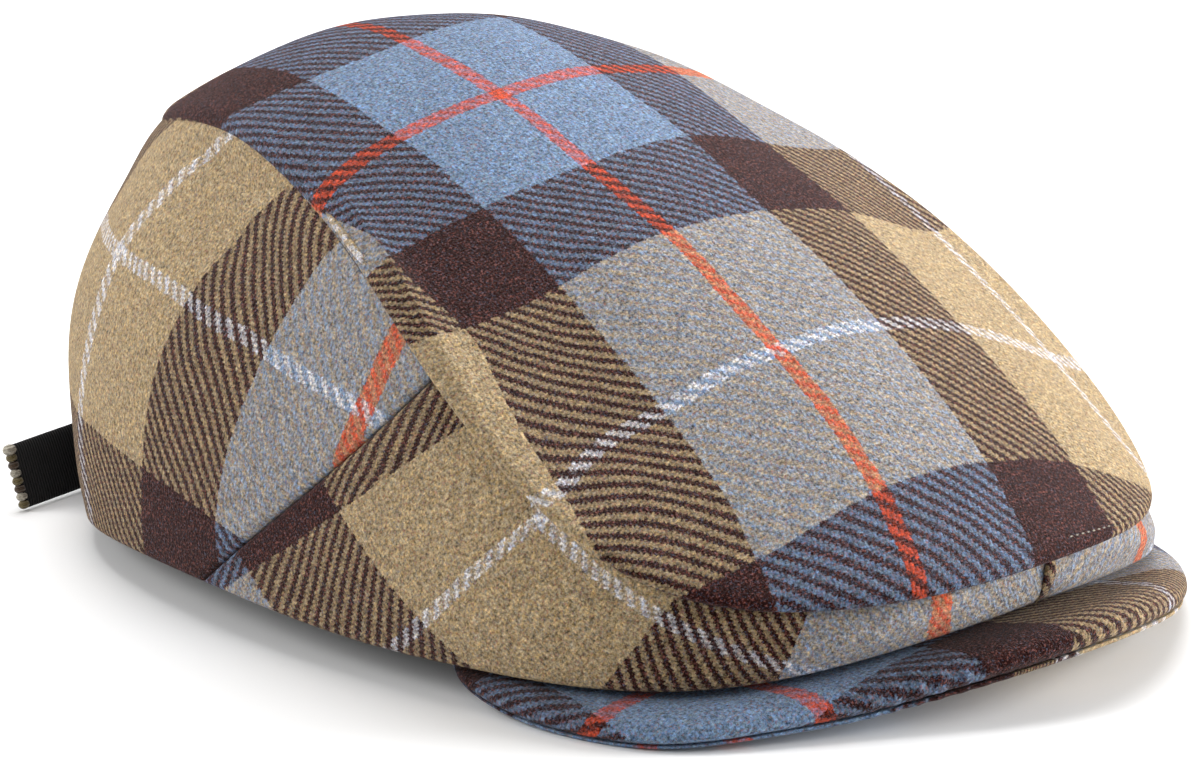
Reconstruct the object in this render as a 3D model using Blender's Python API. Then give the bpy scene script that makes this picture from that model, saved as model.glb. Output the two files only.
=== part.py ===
"""A flat cap of sewn wool panels, standing on its rim and its peak.

Frame: metres, +Z up, floor at z = 0, the peak towards -Y, the wearer's
right towards -X. The origin is under the middle of the head opening.

Sizes are in millimetres until a mesh is made. Angles round the cap start
at the front centre (0), pass the wearer's right side (90) and end at the
back centre (180). The left half mirrors the right half.
"""
import math

import bmesh
import bpy
import numpy as np

MM = 0.001

# Driving sizes, in millimetres
HALF_WIDTH = 85.0        # rim's half width, over the cloth
BACK_REACH = 102.0       # rim's back centre from the origin
FRONT_REACH = 134.0      # top panel's front edge from the origin
CROWN_RISE = 92.0        # highest point of the top panel's edge
DOME_RISE = 31.0         # how far the top panel puffs above its edge
PEAK_REACH = 145.0       # peak's front edge from the origin
PEAK_LIFT = 12.0         # how far the peak's front arches above its corners
OPENING_FRONT = 99.0     # head opening's front, where the peak starts
CLOTH = 2.5              # one layer of wool with its backing
GAP = 0.3                # clearance between neighbouring pieces
ROUND = 0.9              # how far a folded edge rounds out past its faces
LIP = 2.4                # how far the top panel overhangs the band
BACK_BULGE = 19.0        # back panel's bulge at half height
SIDE_BULGE = 2.8         # side panels' bulge at half height
FRONT_BULGE = 1.5        # band's bulge at the front
DENT = 3.5               # soft dent high on the back panel
STRAP_WIDTH = 14.0
STRAP_CLOTH = 2.0
STRAP_TAIL = 47.0        # loose end past the sewn part

STEP = math.radians(22.5)

# Top panel's edge, front centre to back centre in steps of 22.5 degrees:
# across (share of HALF_WIDTH), forward (share of FRONT_REACH),
# up (share of CROWN_RISE)
TOP_EDGE = np.array([
    (0.00, 1.000, 0.285),
    (0.43, 0.945, 0.268),
    (0.765, 0.785, 0.275),
    (0.94, 0.560, 0.438),
    (0.92, 0.305, 0.700),
    (0.805, 0.075, 0.873),
    (0.655, -0.222, 1.000),
    (0.445, -0.525, 0.950),
    (0.00, -0.735, 0.878),
])

# Rim and band's lower edge, same steps: across (share of HALF_WIDTH),
# forward (share of BACK_REACH), up (share of CROWN_RISE)
RIM = np.array([
    (0.00, 1.245, 0.145),
    (0.49, 1.165, 0.105),
    (0.85, 0.920, 0.076),
    (0.99, 0.530, 0.070),
    (1.00, 0.108, 0.080),
    (0.92, -0.303, 0.085),
    (0.755, -0.655, 0.056),
    (0.435, -0.898, 0.012),
    (0.00, -1.000, 0.000),
])

# Peak's outline, front centre to corner: across (share of HALF_WIDTH),
# forward (share of PEAK_REACH)
PEAK_EDGE = np.array([
    (0.00, 1.000),
    (0.45, 0.908),
    (0.83, 0.775),
    (1.01, 0.580),
    (0.97, 0.386),
])

# Side seam's angle at the rim, and its change with height h and h squared
SEAM_AT_RIM = math.radians(104.5)
SEAM_SLOPE = math.radians(-26.0)
SEAM_BEND = math.radians(8.0)

# Clay-like previews of the cloth's main colour areas
COLOURS = {
    "wool_khaki": (0.36, 0.28, 0.17),
    "wool_brown": (0.10, 0.06, 0.05),
    "wool_blue": (0.22, 0.30, 0.40),
    "webbing_black": (0.02, 0.02, 0.02),
}


def clear_scene():
    """Remove whatever the file starts with."""
    for thing in list(bpy.data.objects):
        bpy.data.objects.remove(thing, do_unlink=True)


def cosine_terms(values, step):
    """Weights of cos(k a) that pass through values at even steps."""
    angles = np.arange(len(values)) * step
    table = np.cos(np.outer(angles, np.arange(len(values))))
    return np.linalg.solve(table, values)


def sine_terms(values, step):
    """Weights of sin(k a) that pass through values at steps 1, 2 and on."""
    count = len(values)
    angles = np.arange(1, count + 1) * step
    table = np.sin(np.outer(angles, np.arange(1, count + 1)))
    return np.linalg.solve(table, values)


def powers(disc_x, disc_y, count):
    """Real and imaginary parts of (disc_y + i disc_x) to each power."""
    base = np.asarray(disc_y) + 1j * np.asarray(disc_x)
    raised = base[..., None] ** np.arange(count)
    return raised.real, raised.imag


EDGE_ACROSS = sine_terms(TOP_EDGE[1:-1, 0] * HALF_WIDTH, STEP)
EDGE_FORWARD = cosine_terms(TOP_EDGE[:, 1] * FRONT_REACH, STEP)
EDGE_UP = cosine_terms(TOP_EDGE[:, 2] * CROWN_RISE, STEP)
RIM_ACROSS = sine_terms(RIM[1:-1, 0] * HALF_WIDTH, STEP)
RIM_FORWARD = cosine_terms(RIM[:, 1] * BACK_REACH, STEP)
RIM_UP = cosine_terms(RIM[:, 2] * CROWN_RISE, STEP)
PEAK_ACROSS = sine_terms(PEAK_EDGE[1:, 0] * HALF_WIDTH, STEP)
PEAK_FORWARD = cosine_terms(PEAK_EDGE[:, 1] * PEAK_REACH, STEP)


def top_face(disc_x, disc_y):
    """Top panel's outer face over a unit disc.

    The edge curve is carried inwards as a harmonic surface, and a dome
    that is zero at the edge is added on top. disc_x is to the wearer's
    right and disc_y forward.
    """
    real, imag = powers(disc_x, disc_y, len(EDGE_FORWARD))
    right = imag[..., 1:len(EDGE_ACROSS) + 1] @ EDGE_ACROSS
    forward = real @ EDGE_FORWARD
    height = real @ EDGE_UP
    inside = 1.0 - disc_x ** 2 - disc_y ** 2
    puff = 1.0 - 0.56 * disc_y + 0.40 * disc_y ** 2 - 0.35 * disc_x ** 2
    height = height + DOME_RISE * inside * puff
    return np.stack([-right, -forward, height], axis=-1)


def unit(vectors):
    """Vectors scaled to length one."""
    length = np.linalg.norm(vectors, axis=-1, keepdims=True)
    return vectors / np.maximum(length, 1e-12)


def top_normal(disc_x, disc_y):
    """Outward normal of the top panel's outer face."""
    nudge = 1e-4
    along_x = top_face(disc_x + nudge, disc_y) - top_face(disc_x - nudge, disc_y)
    along_y = top_face(disc_x, disc_y + nudge) - top_face(disc_x, disc_y - nudge)
    return unit(np.cross(along_x, along_y))


def top_at(angle, inset, depth):
    """Point inset mm in from the top panel's edge and depth mm under it."""
    sine = np.sin(angle)
    cosine = np.cos(angle)
    nudge = 1e-3
    outer = top_face(sine, cosine)
    inner = top_face(sine * (1.0 - nudge), cosine * (1.0 - nudge))
    speed = np.linalg.norm(outer - inner, axis=-1) / nudge
    rho = 1.0 - inset / speed
    face = top_face(sine * rho, cosine * rho)
    return face - top_normal(sine * rho, cosine * rho) * np.asarray(depth)[..., None]


def peak_top(right, forward):
    """Height of the peak's upper face: an arch highest at the front centre."""
    floor_height = 2.0 * CLOTH + GAP + ROUND * 0.26
    start = 0.52 * OPENING_FRONT
    along = np.clip((forward - start) / (PEAK_REACH - start), 0.0, None)
    across = right / (0.94 * HALF_WIDTH)
    return floor_height + PEAK_LIFT * along ** 2 * np.clip(1.0 - across ** 2, -0.12, 1.0)


def smooth_step(value):
    """Ease from 0 to 1 as value goes from 0 to 1."""
    value = np.clip(value, 0.0, 1.0)
    return value * value * (3.0 - 2.0 * value)


def looseness(angle):
    """0 where the band is seated on the peak, 1 where the rim is free."""
    return smooth_step((np.abs(np.degrees(angle)) - 62.0) / 22.0)


def rim_curve(angle):
    """Lowest line of the band and rim, resting on the peak at the front."""
    real, imag = powers(np.sin(angle), np.cos(angle), len(RIM_FORWARD))
    right = imag[..., 1:len(RIM_ACROSS) + 1] @ RIM_ACROSS
    forward = real @ RIM_FORWARD
    free = real @ RIM_UP
    seated = peak_top(right, forward) + GAP
    loose = looseness(angle)
    height = seated * (1.0 - loose) + free * loose
    return np.stack([-right, -forward, height], axis=-1)


def outward(angle):
    """Level direction away from the cap's middle."""
    return np.stack([-np.sin(angle), -np.cos(angle), np.zeros_like(angle)], axis=-1)


def wall_face(angle, high, depth=0.0):
    """Outer face of the band and back panel, from rim (0) to seam (1)."""
    low = rim_curve(angle)
    low[..., 2] += ROUND * (1.0 - looseness(angle))
    top = top_at(angle, LIP, np.full_like(angle, CLOTH + GAP))
    cosine = np.cos(angle)
    bulge = (FRONT_BULGE * np.clip(cosine, 0, 1) ** 2
             + SIDE_BULGE * np.sin(angle) ** 2
             + BACK_BULGE * np.clip(-cosine, 0, 1) ** 2)
    turn = np.degrees(angle)
    hollow = DENT * np.exp(-((turn - 134.0) / 13.0) ** 2 - ((high - 0.85) / 0.09) ** 2)
    swell = bulge * 4.0 * high * (1.0 - high) - hollow
    face = low + (top - low) * high[..., None] + outward(angle) * swell[..., None]
    return face


def wall_normal(angle, high):
    """Outward normal of wall_face."""
    nudge = 1e-3
    safe = np.clip(high, nudge, 1.0 - nudge)
    along = wall_face(angle + nudge, safe) - wall_face(angle - nudge, safe)
    rise = wall_face(angle, safe + nudge) - wall_face(angle, safe - nudge)
    normal = unit(np.cross(rise, along))
    side = (normal * outward(angle)).sum(axis=-1, keepdims=True)
    return normal * np.sign(side)


def wall_sheets(angle, high):
    """Outer and inner faces of a wall panel on a grid of angle and height.

    The last row ends flat against the top panel's underside, so its inner
    point is moved along that underside until the wall keeps its thickness.
    """
    outer = wall_face(angle, high)
    inner = outer - wall_normal(angle, high) * CLOTH
    edge = angle[:, -1]
    rise = unit(outer[:, -1] - outer[:, -2])
    deeper = top_at(edge, LIP + 1.0, np.full_like(edge, CLOTH + GAP))
    under = unit(deeper - outer[:, -1])
    lean = np.linalg.norm(np.cross(rise, under), axis=-1)
    inset = LIP + CLOTH / np.maximum(lean, 0.5)
    inner[:, -1] = top_at(edge, inset, np.full_like(edge, CLOTH + GAP))
    return outer, inner


def quads(first, second, third, fourth):
    """Quad index rows from four equal index arrays."""
    return np.stack([first, second, third, fourth], axis=-1).reshape(-1, 4).tolist()


def edge_strip(faces, points, out_edge, in_edge, out_row, in_row, push, wrap):
    """Close one border with a rounded strip through a middle line."""
    middle = (points[out_edge] + points[in_edge]) / 2.0
    inside = (points[out_row] + points[in_row]) / 2.0
    middle = middle + unit(middle - inside) * push
    start = len(points)
    line = np.arange(start, start + len(middle))
    if wrap:
        following = np.roll(np.arange(len(line)), -1)
        here = np.arange(len(line))
    else:
        here = np.arange(len(line) - 1)
        following = here + 1
    faces += quads(out_edge[here], out_edge[following], line[following], line[here])
    faces += quads(line[here], line[following], in_edge[following], in_edge[here])
    return np.concatenate([points, middle]), line


def thick_sheet(outer, inner, rounds, wrap=False, pole=False):
    """Closed solid between two grids of points.

    rounds gives how far the borders push out: first row, last row, first
    column, last column. wrap joins the last row to the first, and pole
    closes the first column to its own middle point.
    """
    rows, columns = outer.shape[:2]
    points = np.concatenate([outer.reshape(-1, 3), inner.reshape(-1, 3)])
    top = np.arange(rows * columns).reshape(rows, columns)
    under = top + rows * columns
    step_rows = np.arange(rows if wrap else rows - 1)
    next_rows = (step_rows + 1) % rows
    faces = []
    for sheet, flip in ((top, False), (under, True)):
        corner = [sheet[step_rows, :-1], sheet[next_rows, :-1],
                  sheet[next_rows, 1:], sheet[step_rows, 1:]]
        if flip:
            corner = corner[::-1]
        faces += quads(*corner)
    if pole:
        for sheet, flip in ((top, False), (under, True)):
            ring = sheet[:, 0]
            centre = points[ring].mean(axis=0)[None]
            hub = len(points)
            points = np.concatenate([points, centre])
            for here, following in zip(ring, np.roll(ring, -1)):
                face = [hub, int(following), int(here)]
                faces.append(face[::-1] if flip else face)
    ends = {}
    if not pole:
        points, ends["low"] = edge_strip(
            faces, points, top[:, 0], under[:, 0], top[:, 1], under[:, 1], rounds[2], wrap)
    points, ends["high"] = edge_strip(
        faces, points, top[:, -1], under[:, -1], top[:, -2], under[:, -2], rounds[3], wrap)
    if not wrap:
        for row, inside, push in ((0, 1, rounds[0]), (rows - 1, rows - 2, rounds[1])):
            points, line = edge_strip(
                faces, points, top[row], under[row], top[inside], under[inside], push, False)
            for end, index in (("low", 0), ("high", -1)):
                corner = ends[end][0 if row == 0 else -1]
                column = 0 if end == "low" else columns - 1
                faces.append([int(top[row, column]), int(line[index]), int(corner)])
                faces.append([int(under[row, column]), int(corner), int(line[index])])
    return points, faces


def add_piece(name, points, faces, slot):
    """Make one named object with its own material from mm points."""
    mesh = bpy.data.meshes.new(name)
    mesh.from_pydata((points * MM).tolist(), [], faces)
    mesh.update()
    work = bmesh.new()
    work.from_mesh(mesh)
    bmesh.ops.recalc_face_normals(work, faces=work.faces)
    work.to_mesh(mesh)
    work.free()
    for polygon in mesh.polygons:
        polygon.use_smooth = True
    thing = bpy.data.objects.new(name, mesh)
    bpy.context.scene.collection.objects.link(thing)
    material = bpy.data.materials.new(name + "_cloth")
    material.use_nodes = True
    shader = material.node_tree.nodes["Principled BSDF"]
    shader.inputs["Base Color"].default_value = COLOURS[slot] + (1.0,)
    shader.inputs["Roughness"].default_value = 0.92
    mesh.materials.append(material)
    return thing


def mirrored(points):
    """The same points on the other side of the cap."""
    return points * np.array([-1.0, 1.0, 1.0])


def build_top_panel():
    """Crown's top panel, one puffed piece with a rounded edge."""
    count = 64
    angles = np.arange(count) * 2.0 * math.pi / count
    shares = np.array([0.12, 0.25, 0.38, 0.51, 0.64, 0.76, 0.87, 0.95])
    grid_angle, grid_share = np.meshgrid(angles, shares, indexing="ij")
    x_share = np.sin(grid_angle) * grid_share
    y_share = np.cos(grid_angle) * grid_share
    outer = top_face(x_share, y_share)
    inner = outer - top_normal(x_share, y_share) * CLOTH
    rim_out = top_at(angles, np.full(count, ROUND), np.zeros(count))
    rim_in = top_at(angles, np.full(count, ROUND), np.full(count, CLOTH))
    outer = np.concatenate([outer, rim_out[:, None]], axis=1)
    inner = np.concatenate([inner, rim_in[:, None]], axis=1)
    points, faces = thick_sheet(outer, inner, (0, 0, 0, ROUND), wrap=True, pole=True)
    add_piece("top_panel", points, faces, "wool_brown")


def seam_angle(high):
    """Side seam's angle at each height."""
    return SEAM_AT_RIM + SEAM_SLOPE * high + SEAM_BEND * high ** 2


def build_walls():
    """Two side panels that meet at the front centre, and the back panel."""
    heights = np.linspace(0.0, 1.0, 9)
    clear = (GAP / 2.0 + ROUND) / HALF_WIDTH
    split = np.linspace(0.0, 1.0, 27)[:, None]
    seam = seam_angle(heights)[None]
    trial = np.full_like(heights, 0.02)
    travel = np.abs(wall_face(trial, heights)[:, 0]) / 0.02
    front = (1.15 * (GAP / 2.0 + ROUND) / travel)[None]
    angle = front + (seam - clear - front) * split
    high = np.broadcast_to(heights, angle.shape)
    outer, inner = wall_sheets(angle, high)
    points, faces = thick_sheet(outer, inner, (ROUND, ROUND, ROUND, 0.0))
    add_piece("side_panel_right", points, faces, "wool_khaki")
    add_piece("side_panel_left", mirrored(points), faces, "wool_khaki")

    split = np.linspace(-1.0, 1.0, 41)[:, None]
    middle = math.pi
    angle = middle + (middle - seam - clear) * split
    high = np.broadcast_to(heights, angle.shape)
    outer, inner = wall_sheets(angle, high)
    points, faces = thick_sheet(outer, inner, (ROUND, ROUND, ROUND, 0.0))
    add_piece("back_panel", points, faces, "wool_khaki")


def peak_sheet(depth, inset):
    """One face of the peak, from head opening to edge, at a depth below it."""
    turn = np.linspace(-1.0, 1.0, 37)[:, None] * 4.0 * STEP
    share = np.linspace(0.0, 1.0, 8)[None]
    sines = np.sin(turn[..., None] * np.arange(1, len(PEAK_ACROSS) + 1))
    cosines = np.cos(turn[..., None] * np.arange(len(PEAK_FORWARD)))
    out_right = sines @ PEAK_ACROSS
    out_forward = cosines @ PEAK_FORWARD
    swing = turn * 0.75
    in_right = 0.935 * HALF_WIDTH * np.sin(swing)
    in_forward = 0.11 * OPENING_FRONT + 0.89 * OPENING_FRONT * np.cos(swing)
    width = np.hypot(out_right - in_right, out_forward - in_forward)
    share = share * (1.0 - inset / width)
    right = in_right + (out_right - in_right) * share
    forward = in_forward + (out_forward - in_forward) * share
    height = peak_top(right, forward) - depth
    return np.stack([-right, -forward, height], axis=-1)


def build_peak():
    """Peak's upper and under cloth, one on the other."""
    for name, depth, slot in (("peak_upper", 0.0, "wool_blue"),
                              ("peak_under", CLOTH + GAP, "wool_khaki")):
        outer = peak_sheet(depth, ROUND)
        inner = peak_sheet(depth + CLOTH, ROUND)
        points, faces = thick_sheet(outer, inner, (0.4, 0.4, 0.4, ROUND))
        add_piece(name, points, faces, slot)


def build_strap():
    """Strap over the back of the rim, with a loose tail to the right."""
    sewn = np.linspace(math.radians(193.0), math.radians(176.0), 8)
    level = np.full_like(sewn, 0.10)
    path = wall_face(sewn, level)
    normal = wall_normal(sewn, level)
    path = path + normal * (GAP + STRAP_CLOTH / 2.0 + 0.25)
    heading = math.radians(-7.0)
    forward = np.array([-math.cos(heading), math.sin(heading), 0.0])
    reach = np.linspace(0.0, STRAP_TAIL, 12)[1:]
    sag = np.stack([reach * 0.0, -0.0006 * reach ** 2, reach * 0.0], axis=-1)
    tail = path[-1] + reach[:, None] * forward + sag
    path = np.concatenate([path, tail])
    along = unit(np.gradient(path, axis=0))
    lean = np.concatenate([normal, np.repeat(normal[-1:], len(tail), axis=0)])
    turn = np.linspace(0.0, 1.0, len(path))[:, None] * np.array([0.0, 0.0, 0.30])
    lean = unit(lean + turn)
    across = unit(np.cross(along, lean))
    lean = np.cross(across, along)
    share = np.linspace(-0.5, 0.5, 5)[None, :, None]
    middle = path[:, None] + across[:, None] * share * (STRAP_WIDTH - 2.0 * 0.5)
    outer = middle + lean[:, None] * STRAP_CLOTH / 2.0
    inner = middle - lean[:, None] * STRAP_CLOTH / 2.0
    points, faces = thick_sheet(outer, inner, (0.5, 0.5, 0.5, 0.5))
    add_piece("back_strap", points, faces, "webbing_black")


def main():
    """Build every piece of the cap."""
    clear_scene()
    build_top_panel()
    build_walls()
    build_peak()
    build_strap()


main()
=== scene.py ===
"""A plaid wool flat cap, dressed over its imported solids.

Frame: metres, +Z up, floor at z = 0, the peak towards -Y, the wearer's
right towards -X. Shapes are worked out in millimetres as surfaces of two
parameters and become metres when a mesh is filled. Angles round the cap
start at the front centre, pass the wearer's right side at 90 degrees and
end at the back centre.
"""
import logging
import math
from dataclasses import dataclass, field
from enum import Enum

import bmesh
import bpy
import numpy as np
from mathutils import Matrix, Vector


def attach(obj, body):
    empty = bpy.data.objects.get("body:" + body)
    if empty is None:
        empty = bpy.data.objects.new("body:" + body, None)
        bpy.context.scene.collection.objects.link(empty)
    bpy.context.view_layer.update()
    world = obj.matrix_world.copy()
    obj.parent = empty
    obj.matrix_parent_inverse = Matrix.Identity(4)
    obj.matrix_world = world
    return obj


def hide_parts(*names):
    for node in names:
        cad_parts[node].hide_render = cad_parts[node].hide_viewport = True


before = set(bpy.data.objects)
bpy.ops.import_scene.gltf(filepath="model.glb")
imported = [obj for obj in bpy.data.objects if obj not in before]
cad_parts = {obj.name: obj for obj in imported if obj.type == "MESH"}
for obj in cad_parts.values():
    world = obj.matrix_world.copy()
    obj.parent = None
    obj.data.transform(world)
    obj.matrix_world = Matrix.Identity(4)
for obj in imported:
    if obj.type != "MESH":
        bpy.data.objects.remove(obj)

MM = 0.001
STEP = math.radians(22.5)
Array = np.ndarray
Material = bpy.types.Material
log = logging.getLogger("flat_cap")


class Side(Enum):
    """Which part of the cap a band panel covers."""

    RIGHT = "right"
    LEFT = "left"
    BACK = "back"


# ---------------------------------------------------------------- shapes


def unit(vectors: Array) -> Array:
    """Scale vectors to length one, along their last axis."""
    length = np.linalg.norm(vectors, axis=-1, keepdims=True)
    return vectors / np.maximum(length, 1e-12)


def ease(value: Array) -> Array:
    """Go smoothly from 0 to 1: 3 v squared less 2 v cubed, v held to 0..1."""
    value = np.clip(value, 0.0, 1.0)
    return value * value * (3.0 - 2.0 * value)


def bell(value: Array, middle: float, spread: float) -> Array:
    """Bell of height 1: e to minus the square of (value - middle) / spread."""
    return np.exp(-((value - middle) / spread) ** 2)


def outward(angle: Array, up: float = 0.0) -> Array:
    """Direction away from the cap's middle at an angle, rising by up."""
    return np.stack([-np.sin(angle), -np.cos(angle), np.full_like(angle, up)], axis=-1)


def bowed(table: tuple, first: Array, second: Array) -> Array:
    """Add up weighted powers of two distances.

    Args:
        table: Rows of weight, power of first and power of second.
        first: The first distance.
        second: The second distance.

    Returns:
        The sum over the rows of the weight times both powers.
    """
    return sum(weight * first ** one * second ** two for weight, one, two in table)


def wave_terms(values: Array, odd: bool) -> Array:
    """Find the weights of a sum of waves that passes through given values.

    Args:
        values: Values at even steps of 22.5 degrees; a sine sum starts at
            the first step and a cosine sum at zero.
        odd: True for sines, False for cosines.

    Returns:
        The weights, from the slowest wave up.
    """
    steps = np.arange(len(values)) + int(odd)
    table = (np.sin if odd else np.cos)(np.outer(steps * STEP, steps))
    return np.linalg.solve(table, values)


def wave_sum(angle: Array, values: Array, odd: bool) -> Array:
    """Read at an angle the sum of waves through values at even steps."""
    steps = np.arange(len(values)) + int(odd)
    return (np.sin if odd else np.cos)(angle[..., None] * steps) @ wave_terms(values, odd)


def travel(points: Array, axis: int) -> Array:
    """Distance walked along one axis of a grid of points.

    Args:
        points: Grid of points, mm.
        axis: The axis to walk along.

    Returns:
        The distance of each point from the axis's start, mm.
    """
    steps = np.linalg.norm(np.diff(points, axis=axis), axis=-1)
    start = np.zeros_like(np.take(steps, [0], axis=axis))
    return np.concatenate([start, np.cumsum(steps, axis=axis)], axis=axis)


def crowd(count: int) -> Array:
    """Even shares from 0 to 1 drawn towards both ends: half of 1 less cos."""
    return 0.5 - 0.5 * np.cos(np.linspace(0.0, math.pi, count))


def circle(count: int) -> Array:
    """Even angles once round, without the last."""
    return np.linspace(0.0, 2.0 * math.pi, count + 1)[:-1]


def roll(distance: Array, reach: float, drop: float) -> Array:
    """Quarter ellipse at a folded edge.

    The depth is drop at the edge and 0 from reach mm inwards: drop times
    one less the root of one less (1 - distance / reach) squared.

    Args:
        distance: Distance in from the edge, mm.
        reach: Where the fold starts, mm.
        drop: How deep the fold ends, mm.

    Returns:
        Depth below the flat face, mm.
    """
    share = np.clip(1.0 - distance / reach, 0.0, 1.0)
    return drop * (1.0 - np.sqrt(np.clip(1.0 - share * share, 0.0, 1.0)))


def look_up(table: Array, row: Array, column: Array) -> Array:
    """Read a table between its cells, in straight lines both ways.

    Args:
        table: Values on a grid.
        row: Row numbers with fractions.
        column: Column numbers with fractions.

    Returns:
        The values at those places.
    """
    row = np.clip(row, 0.0, table.shape[0] - 1.001)
    column = np.clip(column, 0.0, table.shape[1] - 1.001)
    low_row, low_column = row.astype(int), column.astype(int)
    part = row - low_row
    near, far = [table[low_row, pick] * (1 - part) + table[low_row + 1, pick] * part
                 for pick in (low_column, low_column + 1)]
    part = column - low_column
    return near * (1 - part) + far * part


def rear(angle: Array) -> Array:
    """0 at the front half, rising smoothly to 1 round the back."""
    return ease((180.0 - np.abs(np.degrees(angle) % 360.0 - 180.0) - 70.0) / 40.0)


@dataclass(frozen=True)
class CapForm:
    """The cap's carrying surfaces, as in its solids. Sizes in mm."""

    half_width: float = 85.0
    back_reach: float = 102.0
    front_reach: float = 134.0
    crown_rise: float = 92.0
    dome_rise: float = 31.0
    peak_reach: float = 145.0
    peak_lift: float = 12.0
    opening_front: float = 99.0
    cloth: float = 2.5
    gap: float = 0.3
    lip: float = 2.4
    round: float = 0.9
    back_bulge: float = 19.0
    side_bulge: float = 2.8
    front_bulge: float = 1.5
    dent: float = 3.5
    # the dent's angle and its share of height, each with its spread
    dent_at: tuple = ((134.0, 13.0), (0.85, 0.09))
    # where the band lifts off the peak: first angle, and angle taken
    lift_off: tuple = (62.0, 22.0)
    # weights of y, y squared and x squared in the dome's puff
    puff: tuple = (-0.56, 0.40, -0.35)
    # across, forward, up, as shares of half_width, front_reach, crown_rise
    top_edge: tuple = (
        (0.00, 1.000, 0.285), (0.43, 0.945, 0.268), (0.765, 0.785, 0.275),
        (0.94, 0.560, 0.438), (0.92, 0.305, 0.700), (0.805, 0.075, 0.873),
        (0.655, -0.222, 1.000), (0.445, -0.525, 0.950), (0.00, -0.735, 0.878))
    # across, forward, up, as shares of half_width, back_reach, crown_rise
    rim: tuple = (
        (0.00, 1.245, 0.145), (0.49, 1.165, 0.105), (0.85, 0.920, 0.076),
        (0.99, 0.530, 0.070), (1.00, 0.108, 0.080), (0.92, -0.303, 0.085),
        (0.755, -0.655, 0.056), (0.435, -0.898, 0.012), (0.00, -1.000, 0.000))
    # across, forward, as shares of half_width, peak_reach
    peak_edge: tuple = (
        (0.00, 1.000), (0.45, 0.908), (0.83, 0.775), (1.01, 0.580), (0.97, 0.386))
    # side seam's angle at the rim, and its change with height and its square
    seam: tuple = (104.5, -26.0, 8.0)

    def outline(self, angle: Array, table: tuple, sizes: tuple) -> Array:
        """Curve through a table of shares, as sums of waves.

        Args:
            angle: Angles round the cap, radians.
            table: Rows of across, forward and, where it has it, up.
            sizes: The size in mm that each column is a share of.

        Returns:
            Columns of across, forward and up, in mm.
        """
        rows = np.array(table) * np.array(sizes)
        last = -1 if rows[-1, 0] == 0.0 else None
        parts = [wave_sum(angle, rows[1:last, 0], True)]
        parts += [wave_sum(angle, column, False) for column in rows[:, 1:].T]
        return np.stack(parts, axis=-1)

    def top_face(self, disc_x: Array, disc_y: Array) -> Array:
        """Top panel's outer face over a unit disc.

        Each wave of the edge fades inwards as the distance from the disc's
        middle to the wave's own power, and a dome that is zero at the edge
        is added: dome_rise (1 - x2 - y2) times 1 plus the puff's terms.

        Args:
            disc_x: Share to the wearer's right.
            disc_y: Share forward.

        Returns:
            Points in mm.
        """
        rows = np.array(self.top_edge) * (self.half_width, self.front_reach, self.crown_rise)
        across = wave_terms(rows[1:-1, 0], True)
        ahead, above = wave_terms(rows[:, 1], False), wave_terms(rows[:, 2], False)
        raised = (np.asarray(disc_y) + 1j * np.asarray(disc_x))[..., None] ** np.arange(len(ahead))
        right = raised.imag[..., 1:len(across) + 1] @ across
        inside = 1.0 - disc_x ** 2 - disc_y ** 2
        slope, long, wide = self.puff
        puff = 1.0 + slope * disc_y + long * disc_y ** 2 + wide * disc_x ** 2
        height = raised.real @ above + self.dome_rise * inside * puff
        return np.stack([-right, -(raised.real @ ahead), height], axis=-1)

    def top_normal(self, disc_x: Array, disc_y: Array) -> Array:
        """Outward normal of top_face, from its slopes both ways.

        Args:
            disc_x: Share to the wearer's right.
            disc_y: Share forward.

        Returns:
            Vectors of length one.
        """
        face, nudge = self.top_face, 1e-4
        slope_x = face(disc_x + nudge, disc_y) - face(disc_x - nudge, disc_y)
        slope_y = face(disc_x, disc_y + nudge) - face(disc_x, disc_y - nudge)
        return unit(np.cross(slope_x, slope_y))

    def top_share(self, angle: Array, inset: Array | float) -> Array:
        """Share of the disc's radius at a distance in from the panel's edge.

        Args:
            angle: Angles round the cap, radians.
            inset: Distance in, mm.

        Returns:
            Shares, 1 at the edge.
        """
        nudge = 1e-3
        sine, cosine = np.sin(angle), np.cos(angle)
        edge = self.top_face(sine, cosine)
        near = self.top_face(sine * (1.0 - nudge), cosine * (1.0 - nudge))
        return 1.0 - inset * nudge / np.linalg.norm(edge - near, axis=-1)

    def top_at(self, angle: Array, inset: Array | float, depth: Array | float) -> Array:
        """Points near the top panel's edge.

        Args:
            angle: Angles round the cap, radians.
            inset: Distance in from the edge, mm.
            depth: Depth under the outer face, mm.

        Returns:
            Points in mm.
        """
        share = self.top_share(angle, inset)
        disc = np.sin(angle) * share, np.cos(angle) * share
        return self.top_face(*disc) - self.top_normal(*disc) * np.asarray(depth)[..., None]

    def peak_height(self, right: Array, forward: Array) -> Array:
        """Height of the peak's upper face: an arch, highest at the front.

        Args:
            right: Place to the wearer's right, mm.
            forward: Place forward, mm.

        Returns:
            Height over the floor, mm: two cloths, their gap and the edge's
            round, then peak_lift times the share forward squared and the arch.
        """
        start = 0.52 * self.opening_front
        along = np.clip((forward - start) / (self.peak_reach - start), 0.0, None)
        across = right / (0.94 * self.half_width)
        arch = np.clip(1.0 - across ** 2, -0.12, 1.0)
        flat = 2.0 * self.cloth + self.gap + self.round * 0.26
        return flat + self.peak_lift * along ** 2 * arch

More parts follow.
